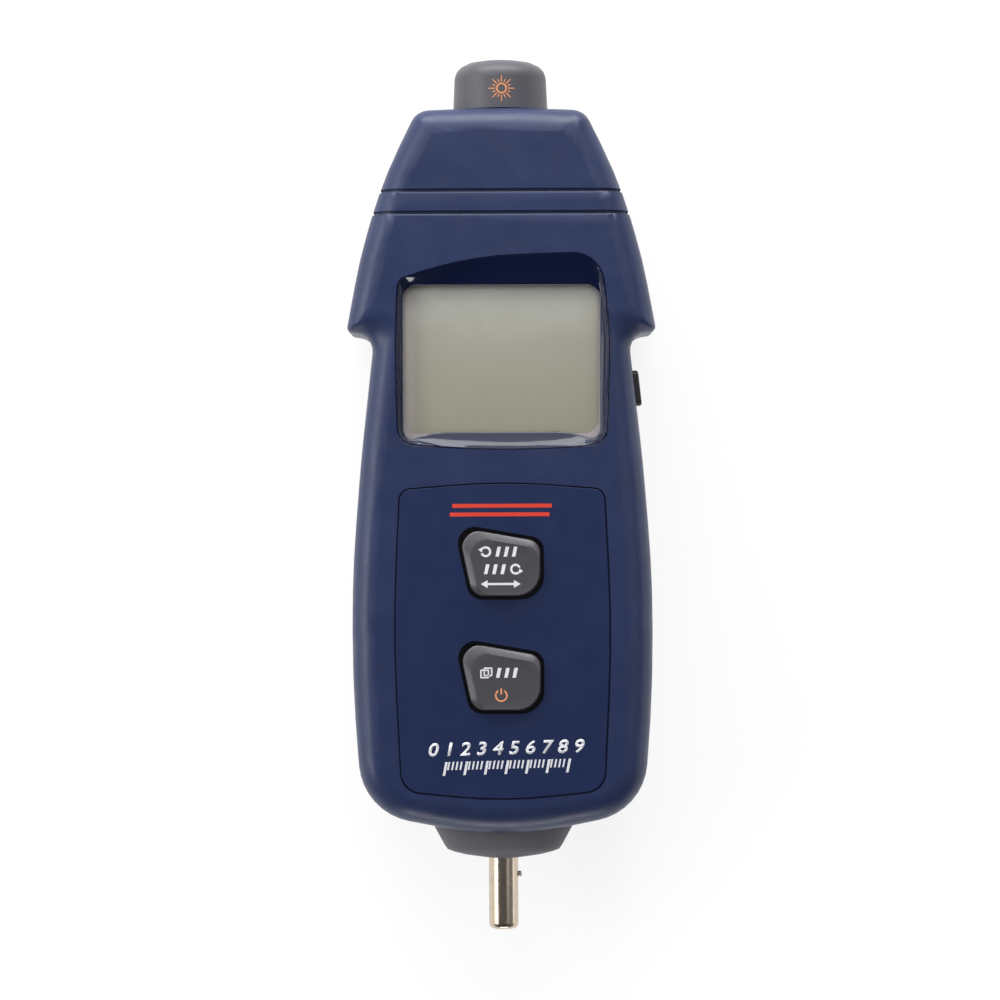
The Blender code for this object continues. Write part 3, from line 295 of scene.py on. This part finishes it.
def pane_finish():
    """A clear pane: light passes straight through, and its gloss grows towards grazing angles."""
    f = Finish("clear_pane")
    clear = f.add("ShaderNodeBsdfTransparent")
    clear.inputs["Color"].default_value = (0.985, 0.99, 0.985, 1)
    gloss = f.add("ShaderNodeBsdfGlossy")
    f.link(f.ramp(f.noise(500), 0.02, 0.05), gloss.inputs["Roughness"])
    fresnel = f.add("ShaderNodeFresnel")
    fresnel.inputs["IOR"].default_value = 1.46
    outside = f.maths("SUBTRACT", 1.0, f.add("ShaderNodeNewGeometry").outputs["Backfacing"])
    mix = f.add("ShaderNodeMixShader")
    f.link(f.maths("MULTIPLY", fresnel.outputs["Fac"], outside), mix.inputs["Fac"])
    f.link(clear.outputs["BSDF"], mix.inputs[1])
    f.link(gloss.outputs["BSDF"], mix.inputs[2])
    f.link(mix.outputs["Shader"], f.tree.nodes["Material Output"].inputs["Surface"])
    f.tree.nodes.remove(f.shader)
    return f


def display_finish():
    """Blank liquid crystal glass, grey with an olive tint: lighter to its top, painted light against the
    tray walls' shade, and pinkish and paler at its left, a pink tint with painted light.
    """
    drift = 1.5 * MM
    # Where the pale pink at the left begins and ends, and how much of it is mixed in
    pink_and_painted_light_start, pink_and_painted_light_end, pink_and_painted_light_share = 3.0 * MM, 5.0 * MM, 0.42
    # The stops grow lighter towards the top: painted light that offsets the shade cast by the tray's top
    # wall
    stops = ((0.0, (164, 160, 143)), (0.62, (176, 172, 159)), (1.0, (199, 200, 194)))
    f = Finish("blank_display")
    low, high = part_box("lcd_glass")
    axes = f.axes()
    height = f.maths("ADD", axes["Y"], f.ramp(f.noise(120, 2.0), -drift, drift))
    painted_top_light = f.bands(f.ramp(height, 0.0, 1.0, low.y, high.y), stops)
    # Paler and pinkish at the left: a pink tint, together with painted light that offsets the shade of the
    # tray's left wall
    pink_and_painted_light = f.ramp(axes["X"], 1.0, 0.0, low.x + pink_and_painted_light_start, low.x + pink_and_painted_light_end)
    mix = f.add("ShaderNodeMix", data_type="RGBA")
    f.link(f.maths("MULTIPLY", pink_and_painted_light, pink_and_painted_light_share), mix.inputs["Factor"])
    f.link(painted_top_light, mix.inputs["A"])
    mix.inputs["B"].default_value = (*linear(216, 200, 200), 1)
    f.link(mix.outputs["Result"], f.shader.inputs["Base Color"])
    f.roughness(0.30, 0.34, 60)
    f.bump(f.noise(5000, 1.0), 0.0002 * MM)
    return f.set(Specular_IOR_Level=0.3)


def key_finish():
    """Satin grey key, darker below the case face: painted shade where the key sits in its hole."""
    painted_shade_height = 0.4 * MM
    f = Finish("key_rubberised")
    # Painted shade: below the case face the key's sides turn dark, standing in for the shade in the gap
    # round the key
    painted_shade_ramp = f.ramp(f.axes()["Z"], 0.0, 1.0, FACE_Z, FACE_Z + painted_shade_height)
    mixed = f.maths("ADD", painted_shade_ramp, f.ramp(f.noise(700), -0.06, 0.06))
    f.link(f.ramp(mixed, linear(24, 24, 30), linear(76, 75, 79), 0.0, 1.0), f.shader.inputs["Base Color"])
    f.roughness(0.27, 0.35, 300)
    f.bump(f.noise(3300, 2.0), 0.005 * MM)
    return f


def cell_finish():
    """A plain sleeve with a paler band, metal at both ends."""
    end, sleeve, band = (190, 190, 186), (58, 88, 84), (196, 200, 192)
    stops = ((0.0, end), (0.05, sleeve), (0.62, band), (0.68, sleeve), (0.955, end))
    f = Finish("cell_sleeve")
    low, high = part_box("battery_1")
    along = f.ramp(f.axes()["Y"], 0.0, 1.0, low.y, high.y)
    f.link(f.bands(along, stops, "CONSTANT"), f.shader.inputs["Base Color"])
    f.roughness(0.25, 0.38, 250)
    f.bump(f.noise(1200, 2.0), 0.003 * MM)
    return f


def board_finish():
    """Green solder mask over raised copper tracks."""
    f = Finish("solder_mask")
    tracks = f.add("ShaderNodeTexBrick")
    tracks.inputs["Scale"].default_value = 140
    tracks.inputs["Mortar Size"].default_value = 0.03
    f.link(f.place, tracks.inputs["Vector"])
    fac = f.maths("ADD", tracks.outputs["Fac"], f.ramp(f.noise(400), -0.1, 0.1))
    f.link(f.ramp(fac, linear(22, 84, 50), linear(40, 120, 70), 0.0, 1.0), f.shader.inputs["Base Color"])
    f.roughness(0.3, 0.42, 500)
    f.bump(tracks.outputs["Fac"], 0.03 * MM)
    return f


def paints():
    """One finish for each material slot of the record, and pin_steel for the shaft's cross pin."""
    return {
        "case_plastic": case_finish(),
        "panel_film": plastic("printed_film", (26, 40, 78), 0.35, 0.05, 0.006 * MM, 0.25 * MM),
        "bezel_gloss": bezel_finish(),
        "clear_window": pane_finish(),
        "display_glass": display_finish(),
        "white_plastic": plastic("white_plastic_finish", (222, 222, 216), 0.45, 0.03),
        "key_grey": key_finish(),
        "plunger_red": plastic("plunger_finish", (178, 56, 46), 0.4),
        "black_plastic": plastic("black_plastic_finish", (26, 26, 28), 0.5),
        "button_black": plastic("button_finish", (44, 42, 46), 0.42, size=0.3 * MM),
        "board_green": board_finish(),
        "cap_grey": plastic("cap_finish", (77, 77, 83), 0.42, 0.06, 0.02 * MM, 0.3 * MM),
        "nose_grey": plastic("nose_finish", (100, 99, 105), 0.62, 0.06, 0.02 * MM, 0.3 * MM),
        "brass": metal("brass_finish", (196, 158, 92), 0.3, (300, 9000, 300)),
        "lens_red": plastic("lens_finish", (96, 12, 16), 0.08, 0.05, 0.001 * MM, Coat_Weight=0.6),
        "diode_dark": plastic("diode_finish", (34, 26, 40), 0.12, 0.05, 0.001 * MM, Coat_Weight=0.5),
        "shaft_steel": metal("turned_steel", (206, 191, 172), 0.19, (120, 9000, 120), 0.004 * MM),
        "pin_steel": metal("pin_finish", (200, 192, 180), 0.36),
        "spring_steel": metal("spring_finish", (150, 146, 142), 0.3, (900, 900, 900)),
        "screw_steel": metal("screw_finish", (170, 168, 165), 0.32, (800, 800, 3000)),
        "contact_metal": metal("contact_finish", (206, 204, 198), 0.25, (2500, 200, 200)),
        "cell_skin": cell_finish(),
    }


def dress(finishes):
    """Puts each node's finish on it, by its slot in the record. The cross pin is duller than its shaft."""
    for part in frame["record"]["subparts"]:
        obj = nodes[part["node"]]
        obj.data.materials.clear()
        slot = "pin_steel" if part["node"] == "drive_pin" else part["material_slot"]
        obj.data.materials.append(finishes[slot].material)
        for face in obj.data.polygons:
            face.material_index = 0
        shade(obj)


# Display carrier


def carrier(finish):
    """The frame behind the display glass, with a shallow recess that the side button's flange moves into."""
    depth, clearance, overshoot = 0.4 * MM, 0.5 * MM, 1.0 * MM
    source = nodes["lcd_frame"]
    obj = bpy.data.objects.new("display_carrier", source.data.copy())
    obj.matrix_world = source.matrix_world.copy()
    scene.collection.objects.link(obj)
    low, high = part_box("test_button")
    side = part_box("lcd_frame")[1].x
    first = Vector((side - depth, low.y - clearance, low.z - clearance))
    last = Vector((side + overshoot, high.y + clearance, high.z + clearance))
    bpy.ops.mesh.primitive_cube_add(size=1, location=(first + last) / 2, scale=last - first)
    recess = bpy.context.object
    cut = obj.modifiers.new("recess", "BOOLEAN")
    cut.operation, cut.solver, cut.object = "DIFFERENCE", "EXACT", recess
    bpy.context.view_layer.update()
    obj.data = evaluated_mesh(obj)
    obj.modifiers.clear()
    bpy.data.objects.remove(recess)
    obj.data.materials.clear()
    obj.data.materials.append(finish.material)
    shade(obj)
    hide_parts("lcd_frame")
    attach(obj, "housing")


# Printed marks

# In metres: the ink's height over what it is printed on, its thickness, and the height that rays start from
INK_LIFT = 0.004 * MM
INK_THICKNESS = 0.02 * MM
RAY_START = 0.1

# About how long the pieces of ribbons and bars are, in millimetres, and of arcs, in degrees
RIBBON_STEP = 0.35
BAR_STEP = 0.5
ARC_STEP = 8
FEWEST_ARC_STEPS = 8

# The bars and numbers lean by this share of their height
LEAN = 0.22

# The numbers and the scale below them are turned by this many degrees
ROW_TURN = 1.3

# The place across of the marks on both keys, in millimetres
KEY_MARK_X = -0.4


def on_panel(x, y):
    """The panel's height, the same everywhere."""
    return PANEL_Z


def caster(name):
    """A function that finds the height of the named node under a place seen from the front."""
    mesh = nodes[name].data
    tree = BVHTree.FromPolygons([v.co for v in mesh.vertices], [p.vertices for p in mesh.polygons])

    def height(x, y):
        hit = tree.ray_cast(Vector((x, y, RAY_START)), Vector((0, 0, -1)))[0]
        return 0.0 if hit is None else hit.z

    return height


class Mark:
    """Ink laid on a surface: ribbons in the plane of the front, in millimetres, dropped on what is below."""

    def __init__(self, x=0.0, y=0.0, turn=0.0):
        self.verts, self.faces = [], []
        self.centre = Vector((x, y))
        self.turn = math.radians(turn)

    def ribbon(self, path, widths, closed=False):
        """A band along the path, as wide as the widths at its points."""
        if isinstance(widths, (int, float)):
            widths = [widths] * len(path)
        points = [Vector(p) for p in path]
        fine, wide = [], []
        count = len(points)
        for i in range(count if closed else count - 1):
            a, b = points[i], points[(i + 1) % count]
            steps = max(1, math.ceil((b - a).length / RIBBON_STEP))
            for s in range(steps):
                fine.append(a.lerp(b, s / steps))
                wide.append(widths[i] + (widths[(i + 1) % count] - widths[i]) * s / steps)
        if not closed:
            fine.append(points[-1])
            wide.append(widths[-1])
        start, total = len(self.verts), len(fine)
        for i, point in enumerate(fine):
            before = fine[i - 1] if i or closed else point
            after = fine[(i + 1) % total] if i < total - 1 or closed else point
            along = (after - before).normalized()
            side = Vector((-along.y, along.x)) * wide[i] / 2
            self.verts += [point + side, point, point - side]
        for i in range(total if closed else total - 1):
            a, b = start + 3 * i, start + 3 * ((i + 1) % total)
            self.faces += [(a, a + 1, b + 1, b), (a + 1, a + 2, b + 2, b + 1)]

    def arc(self, x, y, radius, start, end, width):
        """A band round a centre, from one angle to another in degrees."""
        steps = max(FEWEST_ARC_STEPS, int(abs(end - start) / ARC_STEP))
        angles = [math.radians(start + (end - start) * i / steps) for i in range(steps + 1)]
        path = [(x + radius * math.cos(a), y + radius * math.sin(a)) for a in angles]
        full = abs(end - start) >= 360
        self.ribbon(path[:-1] if full else path, width, full)

    def slanted(self, x, y, width, height):
        """An upright bar with its top leaning to the right."""
        foot = Vector((x - LEAN * height / 2, y - height / 2))
        head = Vector((x + LEAN * height / 2, y + height / 2))
        start = len(self.verts)
        steps = max(2, round(height / BAR_STEP))
        for i in range(steps + 1):
            p = foot.lerp(head, i / steps)
            self.verts += [p - Vector((width / 2, 0)), p, p + Vector((width / 2, 0))]
        for i in range(steps):
            c = start + 3 * i
            self.faces += [(c, c + 1, c + 4, c + 3), (c + 1, c + 2, c + 5, c + 4)]

    def three_bars(self):
        """Three slanted bars in a row."""
        first, pitch, width, height = -0.6, 2.0, 0.85, 2.4
        for i in range(3):
            self.slanted(first + pitch * i, 0.0, width, height)

    def lay(self, name, body, height, material):
        """Makes the piece: every point is turned, moved to its place and dropped on the surface."""
        cos, sin = math.cos(self.turn), math.sin(self.turn)
        verts = []
        for v in self.verts:
            x = (self.centre.x + v.x * cos - v.y * sin) * MM
            y = (self.centre.y + v.x * sin + v.y * cos) * MM
            verts.append((x, y, height(x, y) + INK_LIFT))
        mesh = bpy.data.meshes.new(name)
        mesh.from_pydata(verts, [], self.faces)
        face_front(mesh)
        printed(name, mesh, body, material)


def printed(name, mesh, body, material):
    """A thin layer of ink that rides on a body."""
    obj = bpy.data.objects.new(name, mesh)
    scene.collection.objects.link(obj)
    mesh.materials.append(material.material)
    film = obj.modifiers.new("film", "SOLIDIFY")
    film.thickness = INK_THICKNESS
    film.offset = 1.0
    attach(obj, body)
    return obj


def numbers(name, words, x, y, width, height, material):
    """A row of plain numbers on the panel, as wide and high as asked, its middle at x and y."""
    boldness, curve_steps = 0.022, 3
    curve = bpy.data.curves.new(name, "FONT")
    curve.body = words
    curve.offset = boldness
    curve.resolution_u = curve_steps
    text = bpy.data.objects.new(name + "_type", curve)
    scene.collection.objects.link(text)
    bpy.context.view_layer.update()
    mesh = evaluated_mesh(text)
    bpy.data.objects.remove(text)
    mesh.name = name
    low = Vector(min(v.co[i] for v in mesh.vertices) for i in range(2))
    high = Vector(max(v.co[i] for v in mesh.vertices) for i in range(2))
    scale_x = (width - LEAN * height) * MM / (high.x - low.x)
    scale_y = height * MM / (high.y - low.y)
    for v in mesh.vertices:
        up = (v.co.y - (low.y + high.y) / 2) * scale_y
        across = (v.co.x - (low.x + high.x) / 2) * scale_x + LEAN * up
        v.co = (x * MM + across, y * MM + up, PANEL_Z + INK_LIFT)
    mesh.materials.clear()
    return printed(name, mesh, "housing", material)


def ink(name, rgb, rough=0.4):
    """Printing ink: nearly even in colour, with a fine grain."""
    f = Finish(name)
    f.colour(*tones(rgb, 0.04), 800)
    f.roughness(rough - 0.06, rough + 0.06, 1500)
    f.bump(f.noise(6000, 2.0), 0.003 * MM)
    return f


def panel_stripes(material):
    """Two stripes across the panel's top, the upper one set a little to the right."""
    left, right, shift, rise, width = -12.2, 12.0, 0.3, 1.05, 0.95
    mark = Mark(-0.2, -3.8)
    for side in (-1, 1):
        mark.ribbon([(left + shift * side, side * rise), (right + shift * side, side * rise)], width)
    mark.lay("panel_stripes", "housing", on_panel, material)


def panel_numbers(material):
    """The numbers from 0 to 9 across the panel's bottom."""
    x, y, width, height = 0.85, -61.6, 38.6, 3.4
    row = numbers("panel_numbers", "0 1 2 3 4 5 6 7 8 9", x, y, width, height, material)
    tilt = Matrix.Rotation(math.radians(ROW_TURN), 4, "Z")
    centre = Matrix.Translation((x * MM, y * MM, 0))
    row.data.transform(centre @ tilt @ centre.inverted())


def panel_scale(material):
    """A scale with a tick to a millimetre, every fifth one long. All ticks end at the same height."""
    ticks, fifth = 31, 5
    long_height, long_width = 3.3, 0.62
    short_height, short_width = 2.0, 0.42
    mark = Mark(0.9, -66.3, ROW_TURN)
    for i in range(ticks):
        is_long = i % fifth == 0
        height, width = (long_height, long_width) if is_long else (short_height, short_width)
        raised = (long_height - height) / 2
        mark.slanted(i - (ticks - 1) / 2 - LEAN * raised, raised, width, height)
    mark.lay("panel_scale", "housing", on_panel, material)


def mode_key_marks(material):
    """Two turning arrows with bars, one of them upside down, and a length arrow."""
    line, turning_head, length_head, point = 0.55, 1.1, 1.9, 0.05
    line_reach, head_foot, head_tip = 3.4, 3.2, 4.8
    top = caster("mode_key")
    for i, (y, turn) in enumerate(((-13.9, 0), (-18.15, 180))):
        mark = Mark(KEY_MARK_X, y, turn)
        mark.arc(-3.6, 0.0, 1.05, 130, -160, line)
        mark.ribbon([(-5.0, 0.15), (-4.15, 1.25)], [turning_head, point])
        mark.three_bars()
        mark.lay(f"turning_mark_{i}", "mode_key", top, material)
    mark = Mark(KEY_MARK_X, -21.75)
    mark.ribbon([(-line_reach, 0), (line_reach, 0)], line)
    for side in (-1, 1):
        mark.ribbon([(side * head_foot, 0), (side * head_tip, 0)], [length_head, point])
    mark.lay("length_mark", "mode_key", top, material)


def memory_key_marks(material, power_material):
    """Two overlapping squares with bars, and the usual power sign."""
    half, line = 0.9, 0.36
    top = caster("memory_key")
    mark = Mark(KEY_MARK_X, -43.3)
    for x, y in ((-4.0, -0.25), (-3.2, 0.25)):
        square = [(x - half, y - half), (x + half, y - half), (x + half, y + half), (x - half, y + half)]
        mark.ribbon(square, line, True)
    mark.three_bars()
    mark.lay("store_mark", "memory_key", top, material)
    radius, half_gap, power_line = 1.35, 32, 0.38
    power = Mark(KEY_MARK_X, -48.8)
    power.arc(0, 0, radius, 90 + half_gap, 450 - half_gap, power_line)
    power.ribbon([(0, 0.25), (0, 1.75)], power_line)
    power.lay("power_mark", "memory_key", top, power_material)


def beam_mark(material):
    """A ring with long and short rays in turn."""
    ring, line, rays = 1.15, 0.42, 16
    ray_foot, long_ray, short_ray, foot_width, tip_width = 1.65, 3.2, 2.4, 0.34, 0.2
    mark = Mark(0.3, 99.5)
    mark.arc(0, 0, ring, 0, 360, line)
    for i in range(rays):
        angle = 2 * math.pi * i / rays
        reach = long_ray if i % 2 == 0 else short_ray
        out = Vector((math.cos(angle), math.sin(angle)))
        mark.ribbon([out * ray_foot, out * reach], [foot_width, tip_width])
    mark.lay("beam_mark", "housing", caster("sensor_cap"), material)


def rounded(half_x, low_y, high_y, reach):
    """Points round a rectangle that is centred across, with corners of radius reach, in millimetres."""
    steps = 8
    top, bottom = high_y - reach, low_y + reach
    points = []
    for side, y, start in ((1, top, 0), (-1, top, 90), (-1, bottom, 180), (1, bottom, 270)):
        for i in range(steps + 1):
            a = math.radians(start + 90 * i / steps)
            points.append((side * (half_x - reach) + reach * math.cos(a), y + reach * math.sin(a)))
    return points


def display_border(material, line_material):
    """The printed frame on the display glass round its rounded viewing area, with a thin line inside."""
    lift, line = 0.01 * MM, 0.22
    viewing_area = (23.7, 14.9, 50.9, 3.6)
    frame_edge = (25.2, 11.6, 52.2, 0.6)
    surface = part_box("lcd_glass")[1].z
    inner, outer = rounded(*viewing_area), rounded(*frame_edge)
    count = len(inner)
    verts = [(x * MM, y * MM, surface + lift) for x, y in inner + outer]
    faces = [(count + i, count + (i + 1) % count, (i + 1) % count, i) for i in range(count)]
    mesh = bpy.data.meshes.new("display_border")
    mesh.from_pydata(verts, [], faces)
    face_front(mesh)
    printed("display_border", mesh, "housing", material)
    edge = Mark()
    edge.ribbon(inner, line, True)
    edge.lay("display_line", "housing", caster("lcd_glass"), line_material)


def marks():
    """All the print on the front: generic signs, numbers and lines."""
    white = ink("white_ink", (232, 233, 236))
    red = ink("red_ink", (222, 66, 46))
    orange = ink("orange_ink", (238, 158, 116))
    tan = ink("tan_ink", (212, 138, 90))
    panel_stripes(red)
    panel_numbers(white)
    panel_scale(white)
    mode_key_marks(white)
    memory_key_marks(white, orange)
    beam_mark(tan)
    display_border(ink("border_ink", (196, 186, 190), 0.3), ink("border_line_ink", (138, 136, 122), 0.3))


# Studio

# The lens and sensor are in millimetres and the turn in degrees. All other places and sizes are in metres.
CAMERA_PLACE = (-0.5 * MM, -1.36 * MM, 0.9)
CAMERA_TURN = -0.25
CAMERA_LENS = 128.0
SENSOR_WIDTH = 36.0
FLOOR_SIZE = 8
FLOOR_GAP = 0.2 * MM

# Each lamp's name, place, width and height, and power in watts
LAMPS = (
    ("key_light", (-0.06, 0.5, 0.42), (0.9, 0.7), 2.8),
    ("low_light", (0.0, 0.7, 0.23), (1.0, 0.38), 5.9),
    ("left_light", (-0.63, 0.05, 0.42), (0.7, 0.24), 2.2),
    ("low_left_light", (-0.7, 0.05, 0.17), (0.7, 0.14), 0.55),
    ("right_light", (0.8, 0.0, 0.13), (0.6, 0.16), 0.4),
    ("high_light", (0.5, 0.05, 0.75), (0.5, 0.4), 0.4),
    ("chin_light", (0.0, -0.72, 0.15), (0.45, 0.13), 1.4),
)


def camera():
    """A long lens straight above the front."""
    data = bpy.data.cameras.new("camera")
    data.lens = CAMERA_LENS
    data.sensor_width = SENSOR_WIDTH
    data.clip_start = 0.01
    obj = bpy.data.objects.new("camera", data)
    obj.location = CAMERA_PLACE
    obj.rotation_euler = (0, 0, math.radians(CAMERA_TURN))
    scene.collection.objects.link(obj)
    scene.camera = obj


def lamp(name, place, size, power):
    """A rectangular lamp that shines at the middle of the object's back."""
    light = bpy.data.lights.new(name, "AREA")
    light.shape = "RECTANGLE"
    light.size, light.size_y = size
    light.energy = power
    obj = bpy.data.objects.new(name, light)
    obj.location = place
    middle = Vector((0, 0, 0))
    obj.rotation_euler = (middle - Vector(place)).to_track_quat("-Z", "Y").to_euler()
    scene.collection.objects.link(obj)


def sky():
    """Dark overhead and towards the shaft, paler round the horizon and beyond the sensor end."""
    world = bpy.data.worlds.new("studio")
    scene.world = world
    world.use_nodes = True
    tree = world.node_tree
    back = tree.nodes["Background"]
    place = tree.nodes.new("ShaderNodeTexCoord")
    split = tree.nodes.new("ShaderNodeSeparateXYZ")
    tree.links.new(place.outputs["Generated"], split.inputs["Vector"])
    ramp = tree.nodes.new("ShaderNodeValToRGB")
    tree.links.new(split.outputs["Z"], ramp.inputs["Fac"])
    horizon, overhead = ramp.color_ramp.elements
    horizon.position, horizon.color = 0.2, (0.6, 0.6, 0.62, 1)
    overhead.position, overhead.color = 0.75, (0.2, 0.2, 0.22, 1)
    side = tree.nodes.new("ShaderNodeMapRange")
    for key, value in (("From Min", -0.5), ("From Max", 0.6), ("To Min", 0.3), ("To Max", 1.1)):
        side.inputs[key].default_value = value
    tree.links.new(split.outputs["Y"], side.inputs["Value"])
    tree.links.new(ramp.outputs["Color"], back.inputs["Color"])
    tree.links.new(side.outputs["Result"], back.inputs["Strength"])


def floor():
    """White paper that glows to the camera and in mirror-like reflections, and is plain to other light."""
    plain, seen_plain, glow = 0.8, 0.22, 0.84
    bpy.ops.mesh.primitive_plane_add(size=FLOOR_SIZE, location=(0, 0, cad_box[0].z - FLOOR_GAP))
    plane = bpy.context.object
    plane.name = "studio_floor"
    material = bpy.data.materials.new("floor_paper")
    material.use_nodes = True
    tree = material.node_tree
    shader = tree.nodes["Principled BSDF"]
    shader.inputs["Roughness"].default_value = 0.9
    shader.inputs["Specular IOR Level"].default_value = 0.0
    path = tree.nodes.new("ShaderNodeLightPath")
    seen = path.outputs["Is Camera Ray"]
    for name in ("Is Glossy Ray", "Is Transmission Ray"):
        either = tree.nodes.new("ShaderNodeMath")
        either.operation = "MAXIMUM"
        tree.links.new(seen, either.inputs[0])
        tree.links.new(path.outputs[name], either.inputs[1])
        seen = either.outputs["Value"]
    shader.inputs["Emission Color"].default_value = (1, 1, 1, 1)
    for socket, unseen, shown in (("Base Color", plain, seen_plain), ("Emission Strength", 0.0, glow)):
        level = tree.nodes.new("ShaderNodeMapRange")
        level.inputs["To Min"].default_value, level.inputs["To Max"].default_value = unseen, shown
        tree.links.new(seen, level.inputs["Value"])
        tree.links.new(level.outputs["Result"], shader.inputs[socket])
    plane.data.materials.append(material)


def studio():
    """Camera, lamps, sky and floor."""
    scene.view_settings.view_transform = "Standard"
    camera()
    for name, place, size, power in LAMPS:
        lamp(name, place, size, power)
    sky()
    floor()


studio()
finishes = paints()
dress(finishes)
carrier(finishes["white_plastic"])
marks()
